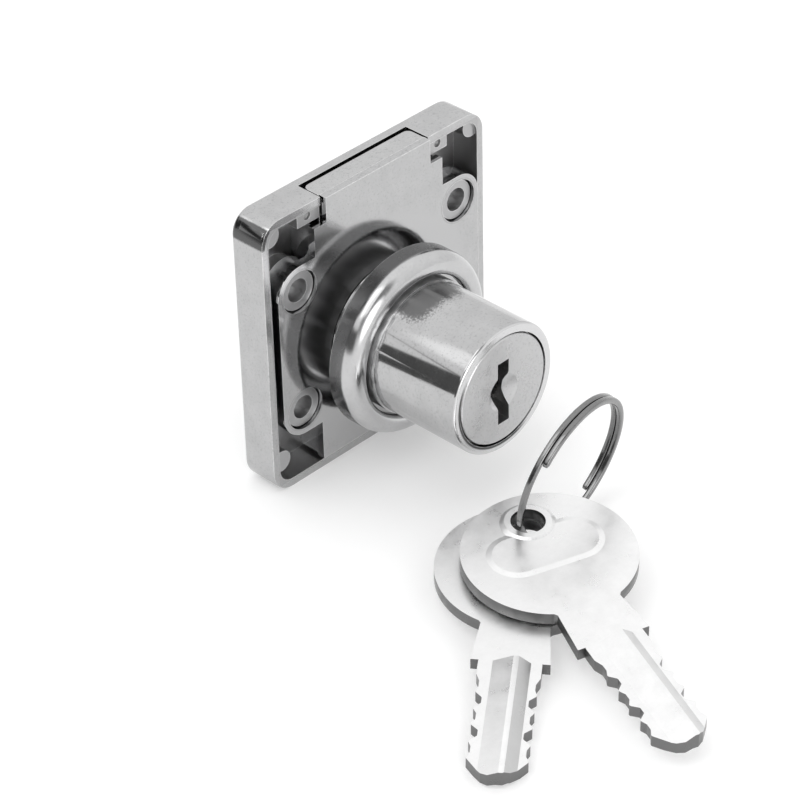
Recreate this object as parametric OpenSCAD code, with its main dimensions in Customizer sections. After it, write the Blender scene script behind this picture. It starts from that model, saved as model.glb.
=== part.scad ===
// Surface-mounted furniture lock: a shallow die-cast case, a cover plate cast in one with a
// round barrel, a flat bolt that rises out of the top edge, a wafer plug and two keys on a ring.
// Origin: centre of the four screw holes, on the cover plate's front face (the mounting face).
// +X is right as seen from the front, -Y points out of the barrel's face, +Z is the bolt's throw.

/* [Case] */
// Width of the case
case_w = 41.3; // [41.1:0.1:42]
// Height of the case
case_h = 42.4; // [42.2:0.1:43]
// Depth of the case from its rim to its back
case_depth = 5.9; // [5.9:0.1:6.5]
// Radius of the case's four upright corners
case_corner_r = 3.3; // [3:0.1:4]
// Rounding of the case's back edge
case_edge_r = 0.8; // [0.4:0.1:1]
// Thickness of the case's side walls
case_wall = 1.15; // [1:0.05:1.2]
// How far the case's rim lies behind the mounting face
rim_back = 0.7; // [0.6:0.05:0.8]

/* [Fixing holes] */
// Distance between the screw holes across the case
hole_span_x = 30; // [30:0.1:30.4]
// Distance between the screw holes up the case
hole_span_z = 18.6; // [18.4:0.1:19]
// Radius of the screw holes
screw_r = 1.7; // [1.5:0.05:1.8]

/* [Barrel] */
// Radius of the barrel
barrel_r = 9.5; // [9.4:0.05:9.6]
// Length of the barrel in front of the mounting face
barrel_len = 22; // [22:0.5:26]
// Height of the barrel's axis above the centre of the screw holes
barrel_z = -3.6; // [-3.7:0.05:-3.5]

/* [Bolt] */
// Width of the bolt
bolt_w = 19.7; // [19.4:0.1:19.8]
// Thickness of the bolt
bolt_t = 3; // [2.8:0.1:3]
// How far the bolt rises in half a turn of the plug
bolt_throw = 8; // [7:0.5:8]

/* [Wafers] */
// Distance from one wafer to the next
wafer_pitch = 2.8; // [2.7:0.1:2.8]
// How far a wafer slides into its locking groove
wafer_travel = 0.8; // [0.5:0.1:0.8]
// Depth of the key's cut for each wafer, from the front
cut_depths = [0.5, 1.1, 0.7, 1.2, 0.6];

/* [Keys] */
// Radius of a key's round bow
bow_r = 11.5; // [11:0.25:12]
// Thickness of a key
key_t = 1.7; // [1.6:0.05:1.7]
// Half the angle between the two keys
key_splay = 16; // [14:1:18]
// Height of the surface that the keys lie on
key_floor = -21.2; // [-24:0.1:-21.2]

/* [Trim ring] */
// Largest radius of the trim ring
trim_r = 13.25; // [13:0.05:13.5]
// Height of the trim ring along the barrel
trim_h = 4.3; // [4:0.1:4.5]
// Gap between the mounting face and the back of the trim ring
trim_gap = 3; // [2:0.5:10]

/* [Hidden] */
$fn = 64;
eps = 0.01;
plating = [0.82, 0.82, 0.83];
steel = [0.68, 0.69, 0.71];

// Case
case_back = rim_back + case_depth;
floor_y = case_back - 1.5;
cavity_w = case_w - 2 * case_wall;
cavity_h = case_h - 2 * case_wall - 0.2;
notch_half = 10.05;
notch_back = 4.8;
post_half = 14;
post_bottom = 18;
boss_r = 3.4;
boss_top = 3;
tube_r = 2.3;
flare_r = 2.85;
tube_top = 0.5;
pad_r = 1.6;
rib_x = 6;
rib_bottom = -17.5;

// Cover plate
plate_t = 1.2;
plate_low = -19.3;
plate_mid_half = 12;
plate_step = 17.5;
tab_half = 9.75;
ear_r = 3.9;
ear_t = boss_top - 0.05;
pocket_r = 3.1;
pocket_depth = 1.3;
rail_inner = notch_half;
rail_outer = 11.5;
bar_h = 1.2;

// Plug and its bore
head_r = 8;
head_len = 1.7;
head_gap = 0.25;
body_r = 6.5;
run_gap = 0.05;
tail_y = plate_t - 0.1;
keyway_depth = 17.6;
pin_r = 1.5;
pin_orbit = bolt_throw / 2;
groove_half = 3.3;
groove_r = 7;
// Slightly thicker root of the barrel, which carries the trim ring
root_len = trim_gap + trim_h + 0.2;

// Bolt
bolt_y = plate_t + 0.05;
bolt_low = -13;
// Play that lets a bolt moving evenly with the plug's angle pass the pin, which moves as a cosine
yoke_play = 0.95;

// Wafers
wafer_t = 1;
wafer_half_w = 3;
wafer_half_h = 5.7;
wafer_first_y = -barrel_len + 4.2;
lug_w = 1.6;
lug_half_h = 0.6;
spring_x = wafer_half_w + 0.85;
spring_end = 3.6;
function wafer_y(i) = wafer_first_y + i * wafer_pitch;
// Springs push the first, third and fifth wafer up and the others down
function wafer_way(i) = i % 2 == 0 ? 1 : -1;

// Plug retainer
retainer_y = -2.5;
retainer_t = 1.4;
retainer_half = 2;
retainer_tip = 7.1;
retainer_root = 1.5;
retainer_travel = 0.9;
spring_seat = -1.6;

// Keys
blade_half = 4;
blade_z = -0.4;
hole_r = 2.3;
hole_edge = 5.4;
bow_x = bow_r - hole_edge;
neck_len = 6;
shoulder_x = 2 * bow_r - hole_edge + neck_len;
blade_len = 20;
tip_half = 1.8;
first_cut = wafer_first_y + barrel_len;
collar_r = 3.4;
collar_h = 0.4;
stack_gap = 0.3;
field_x = 5;
field_half = 4;
field_r = 4.2;
field_h = 0.16;
field_slope = 0.9;

// Key set: it slopes from the split ring under the bows down to the tips
set_x = -8.5;
set_y = -34;
set_yaw = -127;
set_tilt = 4.25;
set_lift = 3.12;
ring_inner_r = 10;
ring_wire = 0.9;
ring_pitch = 0.86;
ring_start = -60;
ring_sweep = 200;
ring_yaw = 134;
ring_x = 8.38;
ring_z = 7.6;
ring_lean = 8;
stack_mid = key_t + stack_gap / 2;

// ---- Shared shapes ----

// Extrudes an outline drawn in X and Z from y0 back to y1
module from_to(y0, y1) {
    translate([0, y1, 0]) rotate([90, 0, 0]) linear_extrude(height = y1 - y0) children();
}

// Turns a profile of radius and forward distance about the barrel's axis
module about_barrel() {
    translate([0, 0, barrel_z]) rotate([90, 0, 0]) rotate_extrude($fn = 96) children();
}

module round_rect(w, h, r) {
    square([w - 2 * r, h], center = true);
    square([w, h - 2 * r], center = true);
    for (x = [-1, 1], y = [-1, 1]) translate([x * (w / 2 - r), y * (h / 2 - r)]) circle(r);
}

// Outline of a slab of a given half width and depth whose far edge is rounded
module edge_profile(half, depth, e) {
    translate([-half, 0]) square([2 * half, depth - e]);
    translate([-half + e, 0]) square([2 * (half - e), depth]);
    for (s = [-1, 1]) translate([s * (half - e), depth - e]) circle(e);
}

// Slab from y = 0 back, with rounded upright corners and a rounded back edge
module soft_slab(w, h, r, depth, e) {
    linear_extrude(height = h - 2 * r, center = true) edge_profile(w / 2, depth, e);
    rotate([0, -90, 0]) linear_extrude(height = w - 2 * r, center = true) edge_profile(h / 2, depth, e);
    for (x = [-1, 1], z = [-1, 1])
        translate([x * (w / 2 - r), 0, z * (h / 2 - r)])
            rotate([-90, 0, 0]) rotate_extrude() intersection() {
                edge_profile(r, depth, e);
                square([r, depth]);
            }
}

module at_holes() {
    for (x = [-1, 1], z = [-1, 1]) translate([x * hole_span_x / 2, 0, z * hole_span_z / 2]) children();
}

// Coil spring along +Z from the origin: a wire swept round a helix, with flat end turns left open
module coil(coil_r, wire_r, length, turns) {
    steps = 10;
    sides = 6;
    count = steps * turns;
    rings = [for (i = [0 : count])
        let (a = 360 * i / steps, z = wire_r + (length - 2 * wire_r) * i / count)
        [for (j = [0 : sides - 1])
            let (b = 360 * j / sides, r = coil_r + wire_r * cos(b))
            [r * cos(a), r * sin(a), z + wire_r * sin(b)]]];
    points = [for (ring = rings) each ring];
    walls = [for (i = [0 : count - 1], j = [0 : sides - 1])
        let (k = (j + 1) % sides)
        each [[i * sides + j, (i + 1) * sides + j, i * sides + k],
              [i * sides + k, (i + 1) * sides + j, (i + 1) * sides + k]]];
    cap_a = [for (j = [0 : sides - 1]) j];
    cap_b = [for (j = [sides - 1 : -1 : 0]) count * sides + j];
    polyhedron(points = points, faces = concat(walls, [cap_a, cap_b]), convexity = 6);
}

// ---- Case ----

module case() {
    color(plating) difference() {
        union() {
            difference() {
                translate([0, rim_back, 0]) soft_slab(case_w, case_h, case_corner_r, case_depth, case_edge_r);
                from_to(rim_back - 1, floor_y) round_rect(cavity_w, cavity_h, case_corner_r - case_wall);
            }
            // Posts on both sides of the bolt's notch, with the marks of the ejector pins
            for (s = [-1, 1]) difference() {
                translate([s > 0 ? notch_half : -post_half, rim_back + 0.35, post_bottom])
                    cube([post_half - notch_half, floor_y - rim_back, cavity_h / 2 - post_bottom + 0.5]);
                translate([s * 12.2, 0, 19.2]) from_to(rim_back, rim_back + 0.8) circle(0.6);
            }
            // Low ribs that the bolt slides on
            for (s = [-1, 1]) translate([s * rib_x - 0.75, bolt_y + bolt_t + run_gap, rib_bottom])
                cube([1.5, floor_y - bolt_y - bolt_t, post_bottom - 1 - rib_bottom]);
            // Half-round ejector pads in the corners of the tray
            for (x = [-1, 1], z = [-16.6, 18.9]) translate([x * (cavity_w / 2 - 0.7), 0, z])
                from_to(rim_back + 0.4, floor_y + eps) circle(pad_r);
            // Screw bosses: a shoulder under the cover plate and a tube staked over inside its pocket
            at_holes() {
                from_to(boss_top, floor_y + eps) circle(boss_r);
                from_to(tube_top, floor_y) circle(tube_r);
                from_to(tube_top, pocket_depth - 0.02) circle(flare_r);
            }
        }
        // Notch in the top wall that the bolt leaves through
        translate([-notch_half, rim_back - 1, post_bottom - 1])
            cube([2 * notch_half, notch_back - rim_back + 1, case_h]);
        at_holes() {
            from_to(0, case_back + 1) circle(screw_r);
            rotate([-90, 0, 0]) rotate_extrude()
                polygon([[0, floor_y], [screw_r, floor_y], [screw_r + 1.45, case_back], [screw_r + 1.45, case_back + 1],
                         [0, case_back + 1]]);
        }
    }
}

// ---- Cover plate and barrel, one casting ----

module plate_outline() {
    translate([-tab_half, 0]) square([2 * tab_half, case_h / 2]);
    translate([-plate_mid_half, plate_low]) square([2 * plate_mid_half, plate_step - plate_low]);
    round_rect(hole_span_x + 2 * ear_r, hole_span_z + 2 * ear_r, ear_r);
}

module barrel_profile() {
    difference() {
        union() {
            translate([0, -plate_t]) square([barrel_r, barrel_len + plate_t - 0.5]);
            square([barrel_r + 0.2, root_len]);
            square([barrel_r - 0.5, barrel_len]);
            translate([barrel_r - 0.5, barrel_len - 0.5]) circle(0.5);
        }
        translate([-1, -plate_t - 1]) square([body_r + run_gap + 1, barrel_len + plate_t + 2]);
        translate([-1, barrel_len - head_len - run_gap]) square([head_r + head_gap + 1, head_len + 1]);
        // Ring groove that the plug's retainer runs in
        translate([0, -retainer_y - retainer_t / 2 - 0.15]) square([7.5, retainer_t + 0.3]);
    }
}

module barrel_plate() {
    color(plating) difference() {
        union() {
            difference() {
                union() {
                    from_to(0, plate_t) plate_outline();
                    at_holes() from_to(0, ear_t) circle(ear_r);
                    // Rails that guide the bolt and reach the floor of the case
                    for (s = [-1, 1]) translate([s > 0 ? rail_inner : -rail_outer, 0, plate_low])
                        cube([rail_outer - rail_inner, floor_y - run_gap, plate_step - plate_low]);
                    translate([-rail_outer, 0, plate_low]) cube([2 * rail_outer, floor_y - run_gap, bar_h]);
                }
                translate([0, 0, barrel_z]) from_to(-1, plate_t + 1) circle(barrel_r - 0.5);
            }
            about_barrel() barrel_profile();
        }
        at_holes() {
            from_to(-1, pocket_depth) circle(pocket_r);
            from_to(0, ear_t + 1) circle(tube_r + run_gap);
        }
        // Locking grooves over and under the plug, open at the back
        translate([-groove_half, -barrel_len + 2.6, barrel_z - groove_r])
            cube([2 * groove_half, barrel_len - 2.6 + plate_t + 1, 2 * groove_r]);
    }
}

// ---- Bolt ----

module bolt_outline() {
    bolt_top = case_h / 2;
    difference() {
        translate([-bolt_w / 2, bolt_low]) square([bolt_w, bolt_top - bolt_low]);
        // Cross slot for the plug's crank pin
        translate([0, barrel_z - pin_orbit])
            square([2 * (pin_orbit + pin_r + 0.3), 2 * (pin_r + yoke_play)], center = true);
    }
}

module bolt() {
    color(steel) difference() {
        from_to(bolt_y, bolt_y + bolt_t) bolt_outline();
        // Rounded upright edges at the back of the bolt
        for (s = [-1, 1]) translate([s * (bolt_w / 2 - 1), bolt_y + bolt_t - 1, 0]) difference() {
            translate([s > 0 ? 0 : -2, 0, bolt_low - 1]) cube([2, 2, case_h]);
            translate([0, 0, bolt_low - 2]) cylinder(r = 1, h = case_h + 2);
        }
    }
}

// ---- Plug ----

// The keyway seen from the front, from the top round: a waved slot that the blade's rib runs in
module keyway(gap) {
    translate([0, blade_z]) polygon([
        [1.05 - gap, 4.8 - gap], [-1.05 + gap, 4.8 - gap], [-1.05 + gap, 2.6], [-2.2 + gap, 1.1],
        [-2.2 + gap, 0.4], [-1.05 + gap, -2.2], [-1.05 + gap, -4.8 + gap], [1.05 - gap, -4.8 + gap],
        [1.05 - gap, -2.7], [0.35 - gap, 0.1], [0.35 - gap, 1.5], [1.05 - gap, 2.9]]);
}

module wafer_pocket(i) {
    way = wafer_way(i);
    translate([-wafer_half_w - run_gap, wafer_y(i) - wafer_t / 2 - run_gap, -body_r - 1])
        cube([2 * (wafer_half_w + run_gap), wafer_t + 2 * run_gap, 2 * (body_r + 1)]);
    // Room for the lug, and the spring's drilled pocket behind it
    low = min(-way * (lug_half_h + 0.1), way * (lug_half_h + wafer_travel + 0.1));
    translate([wafer_half_w, wafer_y(i) - wafer_t / 2 - run_gap, low])
        cube([lug_w + 0.1, wafer_t + 2 * run_gap, 2 * lug_half_h + wafer_travel + 0.2]);
    translate([spring_x, wafer_y(i), way > 0 ? -spring_end : 0]) cylinder(r = 0.78, h = spring_end);
}

module plug() {
    color(plating) translate([0, 0, barrel_z]) difference() {
        union() {
            rotate([90, 0, 0]) rotate_extrude($fn = 96) polygon([
                [0, -tail_y], [body_r, -tail_y], [body_r, barrel_len - head_len], [head_r, barrel_len - head_len],
                [head_r, barrel_len - 0.15], [head_r - 0.15, barrel_len], [0, barrel_len]]);
            // Crank pin
            translate([0, 0, -pin_orbit]) from_to(tail_y - eps, bolt_y + bolt_t - 0.15) circle(pin_r);
        }
        from_to(-barrel_len - 1, -barrel_len + keyway_depth) keyway(0);
        // Shallow thumb dimple round the keyway
        translate([0, -barrel_len - 4.9, blade_z]) sphere(r = 5.6, $fn = 96);
        for (i = [0 : 4]) wafer_pocket(i);
        // Retainer's slot and the pocket of its spring
        translate([retainer_root - retainer_travel - 0.1, retainer_y - retainer_t / 2 - run_gap, -retainer_half - run_gap])
            cube([body_r, retainer_t + 2 * run_gap, 2 * (retainer_half + run_gap)]);
        translate([spring_seat, retainer_y, 0]) rotate([0, 90, 0]) cylinder(r = 0.66, h = 3);
    }
}

// ---- Wafers, retainer and springs ----

// Flush in the plug: the window's working edge sits on the bottom of the key's cut
module wafer(i) {
    way = wafer_way(i);
    working = blade_half - cut_depths[i] + 0.05;
    other = blade_half + 0.45;
    window_low = blade_z - (way > 0 ? working : other);
    window_high = blade_z + (way > 0 ? other : working);
    color(steel) translate([0, 0, barrel_z]) from_to(wafer_y(i) - wafer_t / 2, wafer_y(i) + wafer_t / 2)
        difference() {
            union() {
                square([2 * wafer_half_w, 2 * wafer_half_h], center = true);
                translate([wafer_half_w - eps, -lug_half_h]) square([lug_w, 2 * lug_half_h]);
            }
            translate([-2.3, window_low]) square([3.6, window_high - window_low]);
        }
}

module wafer_spring(i) {
    way = wafer_way(i);
    room = spring_end - lug_half_h;
    color(steel) translate([spring_x, wafer_y(i), barrel_z - way * spring_end])
        rotate([way > 0 ? 0 : 180, 0, 0]) coil(0.58, 0.13, room, 5);
}

module plug_retainer() {
    color(steel) translate([0, 0, barrel_z]) translate([retainer_root, retainer_y - retainer_t / 2, -retainer_half])
        cube([retainer_tip - retainer_root, retainer_t, 2 * retainer_half]);
}

module retainer_spring() {
    color(steel) translate([spring_seat, retainer_y, barrel_z]) rotate([0, 90, 0])
        coil(0.46, 0.12, retainer_root - spring_seat, 5);
}

// ---- Trim ring ----

// Pressed from sheet: a straight skirt, a domed shoulder and an inner lip rolled back to the barrel
module trim_ring() {
    sheet = 0.5;
    dome = 2.2;
    roll = 0.9;
    top_r = trim_r - dome;
    color(plating) about_barrel() translate([0, trim_gap]) {
        translate([trim_r - sheet, 0]) square([sheet, trim_h - dome]);
        translate([top_r, trim_h - dome]) intersection() {
            difference() {
                circle(dome);
                circle(dome - sheet);
            }
            square(dome);
        }
        translate([top_r, trim_h - roll]) intersection() {
            difference() {
                circle(roll);
                circle(roll - sheet);
            }
            translate([-roll, 0]) square(roll);
        }
        translate([top_r - roll, trim_h - roll - 0.6]) square([sheet, 0.6]);
    }
}

// ---- Keys ----

// Upper half of the blade's outline: a flat valley at each cut with a hump between it and the next
module blade_edge() {
    flat = 0.5;
    hump = blade_half - 0.15;
    polygon(concat([[-0.1, 0], [-0.1, blade_half], [first_cut - 1.7, blade_half]],
        [for (i = [0 : 4])
            let (x = first_cut + i * wafer_pitch, low = blade_half - cut_depths[i])
            each [[x - flat, low], [x + flat, low], [x + wafer_pitch / 2, hump]]],
        [[blade_len - 0.6, tip_half], [blade_len, tip_half / 2], [blade_len, 0]]));
}

// The humps and valleys are rounded
module blade_outline() {
    offset(r = 0.3) offset(r = -0.6) offset(r = 0.3) {
        blade_edge();
        mirror([0, 1]) blade_edge();
    }
}

// A key with its ring hole at the origin, its blade along +X and its flat back on z = 0
module key_body() {
    mid = key_t / 2;
    difference() {
        union() {
            linear_extrude(height = key_t) {
                translate([bow_x, 0]) circle(bow_r, $fn = 96);
                polygon([[bow_x + bow_r - 2, -5.4], [bow_x + bow_r - 0.6, -4.4], [shoulder_x, -5], [shoulder_x, 5],
                         [bow_x + bow_r - 0.6, 4.4], [bow_x + bow_r - 2, 5.4]]);
            }
            translate([0, 0, key_t - eps]) cylinder(r1 = collar_r + 0.35, r2 = collar_r - 0.3, h = collar_h + eps);
            // Raised field across the bow, with a soft slope round it
            hull() for (s = [-1, 1]) translate([field_x, s * field_half, key_t - 0.2])
                cylinder(r1 = field_r + field_slope, r2 = field_r - field_slope, h = field_h + 0.2, $fn = 48);
            translate([shoulder_x - eps, 0, mid]) intersection() {
                translate([0, 0, -3]) linear_extrude(height = 6) blade_outline();
                rotate([90, 0, 90]) linear_extrude(height = blade_len) rotate([0, 0, -90])
                    translate([0, -blade_z]) keyway(0.2);
            }
        }
        translate([0, 0, -1]) cylinder(r = hole_r, h = key_t + 3);
        // Hollow under the collar, which the collar of the key below sits in
        translate([0, 0, -1]) cylinder(r = collar_r + 0.4, h = collar_h + 1.1);
    }
}

module in_key_set() {
    translate([set_x, set_y, key_floor + set_lift]) rotate([0, 0, set_yaw]) rotate([0, set_tilt, 0]) children();
}

module key_1() {
    color(plating) in_key_set() translate([0, 0, key_t + stack_gap]) rotate([0, 0, key_splay]) key_body();
}

module key_2() {
    color(plating) in_key_set() rotate([0, 0, -key_splay]) key_body();
}

// A closed turn of square wire with a part turn set into its side
module split_ring() {
    color(steel) in_key_set() translate([0, 0, stack_mid]) rotate([0, 0, ring_yaw]) rotate([ring_lean, 0, 0])
        translate([ring_x, 0, ring_z - stack_mid]) rotate([90, 0, 0])
            for (turn = [0, 1]) translate([0, 0, (turn - 0.5) * ring_pitch - turn * 0.04]) rotate([0, 0, turn * ring_start])
                rotate_extrude(angle = turn == 0 ? 360 : ring_sweep, $fn = 96)
                    translate([ring_inner_r + ring_wire / 2, 0])
                        square([ring_wire - turn * 0.04, ring_pitch], center = true);
}

case();
barrel_plate();
bolt();
plug();
wafer(0);  // wafer_1
wafer(1);  // wafer_2
wafer(2);  // wafer_3
wafer(3);  // wafer_4
wafer(4);  // wafer_5
wafer_spring(0);  // wafer_spring_1
wafer_spring(1);  // wafer_spring_2
wafer_spring(2);  // wafer_spring_3
wafer_spring(3);  // wafer_spring_4
wafer_spring(4);  // wafer_spring_5
plug_retainer();
retainer_spring();
trim_ring();
key_1();
key_2();
split_ring();
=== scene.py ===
"""A square drawer lock with its trim ring and two keys on a split ring, in a plain studio.

Lengths are in millimetres, and MM turns them into Blender's metres."""
import math
from collections import namedtuple

import bpy
import bmesh
from mathutils import Matrix, Vector


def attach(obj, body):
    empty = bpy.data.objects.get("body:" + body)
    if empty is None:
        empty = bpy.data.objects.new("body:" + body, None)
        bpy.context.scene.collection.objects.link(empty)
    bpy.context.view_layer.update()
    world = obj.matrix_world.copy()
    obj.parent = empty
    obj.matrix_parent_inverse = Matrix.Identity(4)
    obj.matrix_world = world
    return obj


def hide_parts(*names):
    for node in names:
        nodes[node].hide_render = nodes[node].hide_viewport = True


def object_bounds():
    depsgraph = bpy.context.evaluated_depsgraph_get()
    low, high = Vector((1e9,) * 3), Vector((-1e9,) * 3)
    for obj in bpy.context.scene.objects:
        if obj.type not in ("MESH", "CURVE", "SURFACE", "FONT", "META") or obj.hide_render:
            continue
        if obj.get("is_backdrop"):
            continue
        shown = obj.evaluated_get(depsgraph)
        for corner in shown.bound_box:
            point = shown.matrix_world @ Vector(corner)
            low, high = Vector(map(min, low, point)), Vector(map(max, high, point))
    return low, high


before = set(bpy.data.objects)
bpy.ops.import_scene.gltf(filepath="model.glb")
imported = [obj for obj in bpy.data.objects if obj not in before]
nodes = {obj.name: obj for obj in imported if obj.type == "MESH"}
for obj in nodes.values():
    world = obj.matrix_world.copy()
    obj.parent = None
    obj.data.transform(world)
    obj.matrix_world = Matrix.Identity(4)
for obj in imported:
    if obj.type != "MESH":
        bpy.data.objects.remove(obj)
cad_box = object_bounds()
scene = bpy.context.scene
MM = 0.001

# ---- Camera ----

CAMERA_AZIMUTH = math.radians(-45.06)
CAMERA_ELEVATION = math.radians(35.56)
CAMERA_ROLL = math.radians(-1.52)
CAMERA_DISTANCE = 442.6
CAMERA_TARGET = Vector((3.53, 0.7, -18.1))
CAMERA_LENS = 144.05
CAMERA_SENSOR = 36
CLIP_START, CLIP_END = 10, 20000


def add_camera():
    back = Vector((math.sin(CAMERA_AZIMUTH) * math.cos(CAMERA_ELEVATION),
                   -math.cos(CAMERA_AZIMUTH) * math.cos(CAMERA_ELEVATION),
                   math.sin(CAMERA_ELEVATION)))
    level = Vector((math.cos(CAMERA_AZIMUTH), math.sin(CAMERA_AZIMUTH), 0))
    right = Matrix.Rotation(CAMERA_ROLL, 3, back) @ level
    data = bpy.data.cameras.new("camera")
    data.lens = CAMERA_LENS
    data.sensor_width = CAMERA_SENSOR
    data.clip_start = CLIP_START * MM
    data.clip_end = CLIP_END * MM
    camera = bpy.data.objects.new("camera", data)
    place = Matrix((right, back.cross(right), back)).transposed().to_4x4()
    place.translation = (CAMERA_TARGET + back * CAMERA_DISTANCE) * MM
    camera.matrix_world = place
    scene.collection.objects.link(camera)
    scene.camera = camera


# ---- Node trees ----

class Nodes:
    """Short calls for wiring a node tree."""

    def __init__(self, tree):
        self.tree = tree
        self.tree.nodes.clear()

    def add(self, kind, inputs=None, **settings):
        node = self.tree.nodes.new(kind)
        for key, value in settings.items():
            setattr(node, key, value)
        for key, value in (inputs or {}).items():
            if isinstance(value, bpy.types.NodeSocket):
                self.tree.links.new(value, node.inputs[key])
            else:
                node.inputs[key].default_value = value
        return node

    def math(self, operation, a, b=0.0):
        return self.add("ShaderNodeMath", {0: a, 1: b}, operation=operation).outputs[0]

    def plus(self, a, b):
        return self.math("ADD", a, b)

    def minus(self, a, b):
        return self.math("SUBTRACT", a, b)

    def times(self, first, *others):
        for other in others:
            first = self.math("MULTIPLY", first, other)
        return first

    def absolute(self, a):
        return self.math("ABSOLUTE", a)

    def length(self, a, b):
        return self.math("SQRT", self.plus(self.times(a, a), self.times(b, b)))

    def split(self, vector):
        return self.add("ShaderNodeSeparateXYZ", {0: vector}).outputs

    def dot(self, a, b):
        return self.add("ShaderNodeVectorMath", {0: a, 1: b}, operation="DOT_PRODUCT").outputs["Value"]

    def remap(self, value, low, high, to_low, to_high):
        return self.add("ShaderNodeMapRange", {0: value, 1: low, 2: high, 3: to_low, 4: to_high}).outputs[0]

    def smooth(self, value, zero_at, one_at):
        """A smooth step from 0 to 1, upwards or downwards."""
        return self.add("ShaderNodeMapRange", {0: value, 1: zero_at, 2: one_at, 3: 0.0, 4: 1.0},
                        interpolation_type="SMOOTHSTEP").outputs[0]

    def mix(self, factor, a, b):
        """Mixes two colours. Inputs 6 and 7 and output 2 are the node's colour sockets."""
        inputs = {0: factor}
        for key, value in ((6, a), (7, b)):
            inputs[key] = value if isinstance(value, bpy.types.NodeSocket) else (*value, 1)
        return self.add("ShaderNodeMix", inputs, data_type="RGBA").outputs[2]

    def noise(self, where, scale, detail, roughness=0.5):
        return self.add("ShaderNodeTexNoise", {"Vector": where, "Scale": scale, "Detail": detail,
                                               "Roughness": roughness}).outputs[0]


def shaded(tone, factor):
    return [factor * c for c in tone]


# ---- Plating ----

# Noise scales, per metre
WAVE_SCALE = 160
PATCH_SCALE = 330
WEAR_SCALE = 900
PIT_SCALE = 1900
GRAIN_SCALE = 2600
FLECK_SCALE = 2900
SPECKLE_SCALE = 3600

FLECK_SHADE = 0.45
FLECK_EDGES = (0.52, 0.70)
MOTTLE_SHADE = 0.88
MOTTLE_EDGES = (0.3, 0.75)
SPECKLE_EDGES = (0.25, 0.75)
SMOOTHEST, ROUGHEST = 0.75, 1.5
PIT_RADIUS = 0.25
FINE_GRAIN = 0.0003
EDGE_ROUND = 0.22
# The near-white tone of the highlight painted on the edges
EDGE_HIGHLIGHT_TONE = (0.95, 0.95, 0.95)
# Cosine of the turn at which an edge starts and is full
EDGE_TURN = (0.985, 0.90)
# Upright part of the normal where the painted shade on a side starts and is full
SIDE_TURN = (0.93, 0.55)

# A part of a piece with another tone, mostly painted light or shade: how much (0 to 1), times which tone,
# how much rougher, how speckled
Zone = namedtuple("Zone", "amount shade rough speckle", defaults=(0.0,))


def edge_highlight_and_wear(n, where):
    """1 on the edges, where a highlight is painted, broken up by wear."""
    flat = n.add("ShaderNodeNewGeometry").outputs["Normal"]
    rounded = n.add("ShaderNodeBevel", {"Radius": EDGE_ROUND * MM}, samples=6).outputs[0]
    wear = n.remap(n.noise(where, WEAR_SCALE, 3, 0.7), 0.35, 0.6, 0.25, 1)
    return n.times(n.smooth(n.dot(flat, rounded), *EDGE_TURN), wear)


def painted_shade_sides(n):
    """1 on the sides of a flat piece and on the slopes of its grooves, where shade is painted."""
    up = n.split(n.add("ShaderNodeTexCoord").outputs["Normal"])[2]
    return n.smooth(n.absolute(up), *SIDE_TURN)


def plated(name, tone, rough, wave=0.0, pits=0.0, grain=0.0, fleck=0.3, zones=None, sides=0.0, painted_edge_highlight=0.0):
    """Nickel plating: slow waves from the casting under it, fine grain, pits and flecks, a roughness that
    varies, and zones(n, x, y, z) of another tone, most of them painted light or shade. The last two
    arguments set how dark a painted shade on the sides of a flat piece is and how much a highlight painted
    on the edges, broken up by wear, stands out."""
    material = bpy.data.materials.new(name)
    material.use_nodes = True
    n = Nodes(material.node_tree)
    where = n.add("ShaderNodeTexCoord").outputs["Object"]
    patches = n.noise(where, PATCH_SCALE, 5, 0.65)
    tint = n.mix(n.remap(patches, *MOTTLE_EDGES, 0, 1), shaded(tone, MOTTLE_SHADE), tone)
    flecks = n.smooth(n.noise(where, FLECK_SCALE, 2, 0.7), *FLECK_EDGES)
    tint = n.mix(n.times(flecks, fleck), tint, shaded(tone, FLECK_SHADE))
    roughness = n.remap(patches, 0.3, 0.8, rough * SMOOTHEST, rough * ROUGHEST)
    if zones:
        in_mm = n.add("ShaderNodeVectorMath", {0: where, "Scale": 1 / MM}, operation="SCALE").outputs[0]
        for zone in zones(n, *n.split(in_mm)):
            amount = zone.amount
            if zone.speckle:
                spots = n.minus(n.noise(where, SPECKLE_SCALE, 3, 0.75), 0.5)
                amount = n.smooth(n.plus(amount, n.times(spots, zone.speckle)), *SPECKLE_EDGES)
            tint = n.mix(amount, tint, shaded(tone, zone.shade))
            roughness = n.plus(roughness, n.times(amount, zone.rough))
    # Painted shade: a darker tone on the sides of a flat piece and on the slopes of its grooves
    if sides:
        tint = n.mix(painted_shade_sides(n), tint, shaded(tone, sides))
    # Painted highlight: a near-white tone on the edges, broken up by wear
    if painted_edge_highlight:
        tint = n.mix(n.times(edge_highlight_and_wear(n, where), painted_edge_highlight), tint, EDGE_HIGHLIGHT_TONE)
    height = n.plus(n.times(n.noise(where, WAVE_SCALE, 2), wave),
                    n.times(n.noise(where, GRAIN_SCALE, 4, 0.6), FINE_GRAIN + grain))
    if pits:
        voronoi = n.add("ShaderNodeTexVoronoi", {"Vector": where, "Scale": PIT_SCALE}, feature="F1")
        hollow = n.remap(voronoi.outputs[0], 0.0, PIT_RADIUS, 1, 0)
        some = n.remap(patches, 0.5, 0.68, 0, 1)
        height = n.minus(height, n.times(hollow, some, pits))
    bump = n.add("ShaderNodeBump", {"Height": height, "Strength": 1.0, "Distance": MM}).outputs[0]
    shader = n.add("ShaderNodeBsdfPrincipled", {"Base Color": tint, "Metallic": 1.0, "Roughness": roughness,
                                                "Normal": bump})
    n.add("ShaderNodeOutputMaterial", {"Surface": shader.outputs[0]})
    return material


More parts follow.
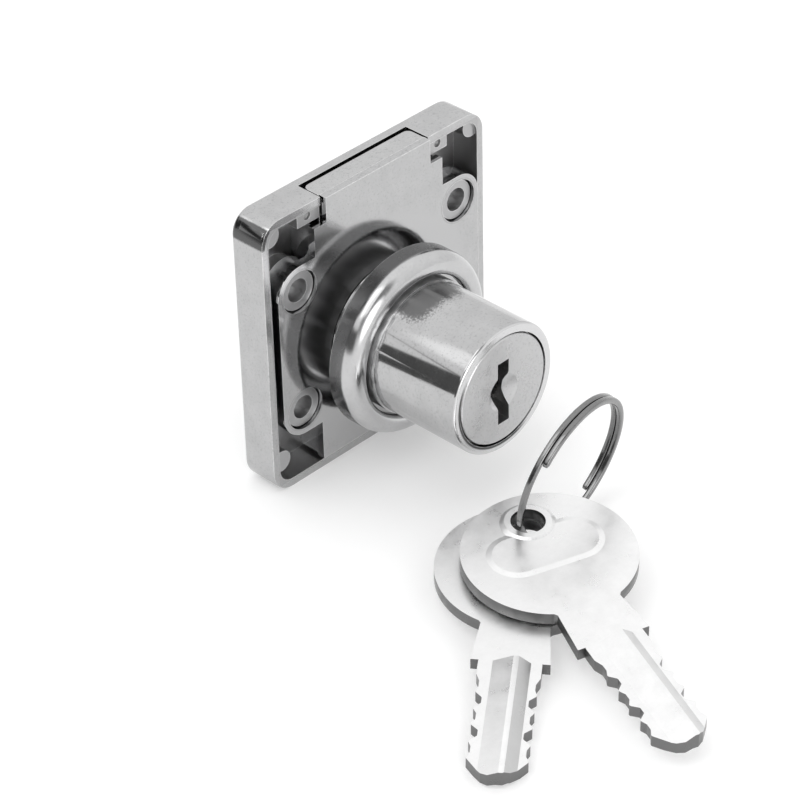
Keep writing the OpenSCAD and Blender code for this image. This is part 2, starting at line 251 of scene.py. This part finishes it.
# ---- Zones, mostly of painted light and shade, in millimetres ----

BARREL_Z = -3.6
BARREL_R = 9.5
BARREL_END = -22.0
BORE_R = 8.25
# The speckled patch: along the barrel, and its left and right sides as angles from the top
PATCH_Y = (-14.0, -9.6)
PATCH_LEFT = (-0.75, -0.35)
PATCH_RIGHT = (0.62, 0.25)
# Where the painted shade on the barrel's root and on the plate round it fades in
ROOT_Y = (-8.5, -6.0)
FIELD_Y = (-2.0, -0.8)
FIELD_R = (20.5, 13.0)
LOW_LEFT = (-1.5, -6.0)
HOLE_X = 15.0
HOLE_Z = 9.3
# The screw holes, whose walls get painted light and whose flanges get painted shade
HOLE_R = 1.7
FLANGE_R = 3.25
FLANGE_INNER = 2.35
CAVITY_X = 19.6
CAVITY_Z = 20.1
CASE_BACK = 6.6
# The rounded upper left corner of the case, where a dark reflection is painted
CORNER_X = -17.35
CORNER_Z = 17.9
CORNER_INNER = 2.6
CORNER_TURN = (0.55, 0.8)
DOME_Y = -5.1
DOME_CENTRE_R = 11.05
DOME_INNER = 1.85
LIP_Y = -6.6


def barrel_zones(n, x, y, z):
    """The barrel's speckled patch; painted shade on its root under the trim ring, which is also rougher,
    and on the plate round it; painted light on its rim; painted shade on the lower left side of the gap
    round the plug and on the flanges of the screw holes, and painted light on the walls of the holes."""
    up = n.minus(z, BARREL_Z)
    out = n.length(x, up)
    turn = n.math("ARCTAN2", x, up)
    skin = n.times(n.smooth(out, BARREL_R - 0.5, BARREL_R - 0.1), n.smooth(y, -0.1, -0.3))
    top = n.times(n.smooth(turn, *PATCH_LEFT), n.smooth(turn, *PATCH_RIGHT))
    yield Zone(n.times(skin, n.smooth(y, *PATCH_Y), top), 0.30, 0.14, 1.7)
    # Painted shade on the barrel's root under the trim ring, which is also rougher
    yield Zone(n.times(skin, n.smooth(y, *ROOT_Y)), 0.8, 0.3)
    # Painted shade on the plate, darker towards the trim ring
    yield Zone(n.times(n.smooth(y, *FIELD_Y), n.smooth(out, *FIELD_R)), 0.95, 0.03, 0.3)
    # Painted light on the barrel's front rim
    yield Zone(n.smooth(y, BARREL_END + 0.3, BARREL_END + 0.1), 1.25, 0.1)
    # Painted shade on the lower left side of the gap round the plug
    low_left = n.smooth(n.plus(x, up), *LOW_LEFT)
    bore = n.times(n.smooth(out, BORE_R + 0.5, BORE_R + 0.25),
                   n.smooth(y, BARREL_END + 2.0, BARREL_END + 0.8))
    yield Zone(n.times(bore, low_left), 0.16, 0.1)
    # Painted shade on the flanges of the screw holes, and painted light on the walls of the holes
    hole = n.length(n.minus(n.absolute(x), HOLE_X), n.minus(n.absolute(z), HOLE_Z))
    flange = n.times(n.smooth(hole, FLANGE_R + 0.2, FLANGE_R),
                     n.smooth(hole, FLANGE_INNER, FLANGE_INNER + 0.25))
    yield Zone(flange, 0.78, 0.04, 0.3)
    yield Zone(n.smooth(hole, HOLE_R + 0.2, HOLE_R), 1.6, 0.02, 0.3)


def case_zones(n, x, y, z):
    """Painted shade inside the tray, which is also rougher, and a painted dark reflection on its rounded
    upper left corner.
    """
    inside = n.times(n.smooth(n.absolute(x), CAVITY_X + 0.2, CAVITY_X),
                     n.smooth(n.absolute(z), CAVITY_Z + 0.2, CAVITY_Z))
    # Painted shade inside the tray, which is also rougher
    yield Zone(n.times(inside, n.smooth(y, CASE_BACK - 0.2, CASE_BACK - 0.4)), 0.85, 0.22)
    # A painted dark reflection on the rounded upper left corner
    across, up = n.minus(CORNER_X, x), n.minus(z, CORNER_Z)
    corner = n.times(n.smooth(n.math("ARCTAN2", across, up), *CORNER_TURN),
                     n.smooth(z, CORNER_Z - 0.7, CORNER_Z + 0.5),
                     n.smooth(y, CASE_BACK + 0.1, CASE_BACK - 0.4),
                     n.smooth(n.length(across, up), CORNER_INNER, CORNER_INNER + 0.3))
    yield Zone(corner, 0.22, 0.05, 0.6)


def trim_zones(n, x, y, z):
    """The skirt and the inside of the trim ring get painted shade, and are rougher than its dome."""
    # Painted shade on the skirt
    yield Zone(n.smooth(y, DOME_Y - 0.6, DOME_Y + 0.3), 0.42, 0.08, 0.2)
    # Painted shade on the inside of the ring
    out = n.length(x, n.minus(z, BARREL_Z))
    depth = n.length(n.minus(out, DOME_CENTRE_R), n.minus(y, DOME_Y))
    inside = n.times(n.smooth(depth, DOME_INNER + 0.15, DOME_INNER), n.smooth(y, LIP_Y, LIP_Y + 0.4))
    yield Zone(inside, 0.8, 0.14)


# ---- Looks of the CAD nodes ----

NICKEL = (0.50, 0.50, 0.503)
BOLT_NICKEL = (0.52, 0.52, 0.522)
PLUG_NICKEL = (0.55, 0.55, 0.553)
TRIM_NICKEL = (0.56, 0.56, 0.564)
KEY_NICKEL = (0.9, 0.9, 0.9)
RING_STEEL = (0.24, 0.24, 0.24)
WAFER_METAL = (0.42, 0.41, 0.4)
WIRE_STEEL = (0.5, 0.5, 0.51)

WAFER_COUNT = 5
WELD_DISTANCE = 0.002
FLAT_ANGLE = math.radians(0.3)
SHARP_ANGLE = math.radians(28)
ROUND_SEGMENTS = 2
# Width of the rounds on the edges of each node
ROUNDS = {"case": 0.22, "barrel_plate": 0.22, "bolt": 0.2, "plug": 0.1, "key_1": 0.15, "key_2": 0.15}


def dress(name, material):
    slots = nodes[name].data.materials
    slots.clear()
    slots.append(material)


def soften(name, width):
    """Small rounds on the sharp edges of a CAD node."""
    modifiers = nodes[name].modifiers
    weld = modifiers.new("weld", "WELD")
    weld.merge_threshold = WELD_DISTANCE * MM
    flat = modifiers.new("flat", "DECIMATE")
    flat.decimate_type = "DISSOLVE"
    flat.angle_limit = FLAT_ANGLE
    bevel = modifiers.new("edges", "BEVEL")
    bevel.width = width * MM
    bevel.segments = ROUND_SEGMENTS
    bevel.limit_method = "ANGLE"
    bevel.angle_limit = SHARP_ANGLE
    bevel.use_clamp_overlap = True
    bevel.harden_normals = True


def node_looks():
    """The material of each CAD node."""
    # The edges of the cast and stamped parts get a painted highlight, and the keys a painted shade on their
    # sides.
    case = plated("case_plating", NICKEL, 0.15, wave=0.002, pits=0.008, zones=case_zones, painted_edge_highlight=0.7)
    barrel = plated("barrel_plating", NICKEL, 0.09, wave=0.0015, pits=0.006, zones=barrel_zones, painted_edge_highlight=0.6)
    bolt = plated("bolt_plating", BOLT_NICKEL, 0.2, wave=0.003, pits=0.008, painted_edge_highlight=0.7)
    plug = plated("plug_plating", PLUG_NICKEL, 0.3, wave=0.003, grain=0.001, painted_edge_highlight=0.5)
    trim = plated("trim_plating", TRIM_NICKEL, 0.17, wave=0.002, fleck=0.15, zones=trim_zones, painted_edge_highlight=0.6)
    key = plated("key_plating", KEY_NICKEL, 0.32, wave=0.001, grain=0.0006, fleck=0.03, sides=0.2)
    ring = plated("ring_steel", RING_STEEL, 0.16, wave=0.002)
    wafer = plated("wafer_metal", WAFER_METAL, 0.3)
    wire = plated("spring_wire", WIRE_STEEL, 0.25)
    looks = {"case": case, "barrel_plate": barrel, "bolt": bolt, "plug": plug, "trim_ring": trim,
             "key_1": key, "key_2": key, "split_ring": ring,
             "plug_retainer": wafer, "retainer_spring": wire}
    for i in range(1, WAFER_COUNT + 1):
        looks[f"wafer_{i}"] = wafer
        looks[f"wafer_spring_{i}"] = wire
    return looks


# ---- Split ring ----

KEY_SET = (-8.5, -34.0, -18.08)
SET_YAW = math.radians(-127)
SET_TILT = math.radians(4.25)
STACK_MID = 1.85
RING_YAW = math.radians(134)
RING_LEAN = math.radians(8)
RING_X = 8.38
RING_Z = 7.6
RING_R = 10.45
WIRE = 0.9
PITCH = 0.86
TURN_GAP = 0.06
WIRE_CORNER = 0.26
END_ROUND = 0.3
END_SIZE = 0.7
# Degrees that the wire runs on one side, steps across and runs on the other side, and where it starts
UPPER_RUN = 200
STEP_RUN = 34
LOWER_RUN = 322
RING_START = 140
RING_SECTIONS = 260
CORNER_STEPS = 4


def ring_place():
    """From the ring's own frame, with its axis along Z, to where it stands in the keys' holes."""
    return (Matrix.Translation(KEY_SET)
            @ Matrix.Rotation(SET_YAW, 4, "Z") @ Matrix.Rotation(SET_TILT, 4, "Y")
            @ Matrix.Translation((0, 0, STACK_MID))
            @ Matrix.Rotation(RING_YAW, 4, "Z") @ Matrix.Rotation(RING_LEAN, 4, "X")
            @ Matrix.Translation((RING_X, 0, RING_Z - STACK_MID))
            @ Matrix.Rotation(math.pi / 2, 4, "X"))


def wire_profile():
    """The wire's section: a rectangle with rounded corners."""
    reach_x = WIRE / 2 - WIRE_CORNER
    reach_y = PITCH / 2 - TURN_GAP / 2 - WIRE_CORNER
    points = []
    for quarter, (sx, sy) in enumerate(((1, 1), (-1, 1), (-1, -1), (1, -1))):
        for k in range(CORNER_STEPS + 1):
            a = math.pi / 2 * (quarter + k / CORNER_STEPS)
            points.append((sx * reach_x + WIRE_CORNER * math.cos(a),
                           sy * reach_y + WIRE_CORNER * math.sin(a)))
    return points


def ring_section(along, total, profile, place):
    """The wire's section at so many degrees along it, a little smaller at its two ends."""
    t = min(1.0, max(0.0, (along - UPPER_RUN) / STEP_RUN))
    side = PITCH / 2 * (1 - 2 * t * t * (3 - 2 * t))
    to_end = math.radians(min(along, total - along)) * RING_R
    size = END_SIZE + (1 - END_SIZE) * math.sqrt(min(1.0, to_end / END_ROUND))
    a = math.radians(RING_START - along)
    points = []
    for px, py in profile:
        r = RING_R + px * size
        points.append(MM * (place @ Vector((r * math.cos(a), r * math.sin(a), side + py * size))))
    return points


def add_wound_ring(material):
    """Spring wire wound on itself, with a step from one side to the other."""
    total = UPPER_RUN + STEP_RUN + LOWER_RUN
    profile = wire_profile()
    place = ring_place()
    bm = bmesh.new()
    rows = []
    for i in range(RING_SECTIONS + 1):
        points = ring_section(total * i / RING_SECTIONS, total, profile, place)
        rows.append([bm.verts.new(p) for p in points])
    for first, second in zip(rows, rows[1:]):
        for k, vertex in enumerate(first):
            after = (k + 1) % len(first)
            bm.faces.new((vertex, first[after], second[after], second[k]))
    bm.faces.new(rows[0])
    bm.faces.new(list(reversed(rows[-1])))
    bmesh.ops.recalc_face_normals(bm, faces=bm.faces)
    for face in bm.faces:
        face.smooth = len(face.verts) == 4
    mesh = bpy.data.meshes.new("wound_ring")
    bm.to_mesh(mesh)
    bm.free()
    mesh.materials.append(material)
    ring = bpy.data.objects.new("wound_ring", mesh)
    scene.collection.objects.link(ring)
    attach(ring, "split_ring")
    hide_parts("split_ring")


# ---- Studio ----

FLOOR_HALF = 3000
FLOOR_GAP = 0.02
FLOOR_TONE = 0.78
FLOOR_GLOW = 0.24
FLOOR_ROUGHNESS = 0.8
FLOOR_SPECULAR = 0.1
WHITE = (1, 1, 1, 1)

TENT_LOW = 1.0
TENT_HIGH = 1.2
DARKNESS = 0.88
OPENING_DARKNESS = 0.82
STRIP_LOW = (0.0, 0.015)
STRIP_HIGH = (0.42, 0.47)
# Direction, and the angles in degrees where a patch of the studio is full and where it ends
STRIP = ((-0.95, 0.5, 0), 45, 65)
OPENING = ((-0.45, -0.62, 0.72), 24, 38)
FRONT_BOX = ((-0.41, -0.82, 0.40), 9, 25)
BACK_BOX = ((-0.45, 0.58, 0.68), 8, 13)
FRONT_LIGHT = 2.8
BACK_LIGHT = 0.5

KEY_LIGHT_PLACE = Vector((-500, -100, 900))
KEY_LIGHT_SIZE = 700
KEY_LIGHT_POWER = 2


def add_floor():
    half = FLOOR_HALF * MM
    corners = [(-half, -half, 0), (half, -half, 0), (half, half, 0), (-half, half, 0)]
    mesh = bpy.data.meshes.new("floor")
    mesh.from_pydata(corners, [], [(0, 1, 2, 3)])
    floor = bpy.data.objects.new("floor", mesh)
    floor.location.z = cad_box[0].z - FLOOR_GAP * MM
    material = bpy.data.materials.new("floor")
    material.use_nodes = True
    n = Nodes(material.node_tree)
    shader = n.add("ShaderNodeBsdfPrincipled", {"Base Color": (FLOOR_TONE, FLOOR_TONE, FLOOR_TONE, 1),
                                                "Roughness": FLOOR_ROUGHNESS,
                                                "Specular IOR Level": FLOOR_SPECULAR,
                                                "Emission Color": WHITE,
                                                "Emission Strength": FLOOR_GLOW})
    n.add("ShaderNodeOutputMaterial", {"Surface": shader.outputs[0]})
    mesh.materials.append(material)
    scene.collection.objects.link(floor)
    floor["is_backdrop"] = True


def add_world():
    """A bright tent with a dark strip above the horizon at the left, a dark opening above the camera and
    two soft boxes."""
    world = bpy.data.worlds.new("studio")
    world.use_nodes = True
    scene.world = world
    n = Nodes(world.node_tree)
    way = n.add("ShaderNodeTexCoord").outputs["Generated"]
    height = n.split(way)[2]

    def near(patch):
        """1 within the inner angle of a direction, falling to 0 at the outer one."""
        direction, inner, outer = patch
        dot = n.dot(way, Vector(direction).normalized())
        return n.smooth(dot, math.cos(math.radians(outer)), math.cos(math.radians(inner)))

    strip = n.times(n.smooth(height, *STRIP_LOW), n.minus(1, n.smooth(height, *STRIP_HIGH)), near(STRIP))
    dark = n.math("MAXIMUM", strip, n.times(near(OPENING), OPENING_DARKNESS))
    tent = n.remap(height, 0.0, 1.0, TENT_LOW, TENT_HIGH)
    light = n.times(tent, n.minus(1.0, n.times(dark, DARKNESS)))
    light = n.plus(light, n.times(near(FRONT_BOX), FRONT_LIGHT))
    light = n.plus(light, n.times(near(BACK_BOX), BACK_LIGHT))
    back = n.add("ShaderNodeBackground", {"Color": WHITE, "Strength": light})
    n.add("ShaderNodeOutputWorld", {"Surface": back.outputs[0]})


def add_key_light():
    data = bpy.data.lights.new("key_light", "AREA")
    data.shape = "RECTANGLE"
    data.size = KEY_LIGHT_SIZE * MM
    data.size_y = KEY_LIGHT_SIZE * MM
    data.energy = KEY_LIGHT_POWER
    light = bpy.data.objects.new("key_light", data)
    light.location = KEY_LIGHT_PLACE * MM
    light.rotation_euler = (-KEY_LIGHT_PLACE).to_track_quat("-Z", "Y").to_euler()
    scene.collection.objects.link(light)


add_camera()
looks = node_looks()
for name, material in looks.items():
    dress(name, material)
for name, width in ROUNDS.items():
    soften(name, width)
add_wound_ring(looks["split_ring"])
add_floor()
add_world()
add_key_light()
scene.view_settings.view_transform = "Standard"

corners = [[list(c) for c in box] for box in (cad_box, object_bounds())]
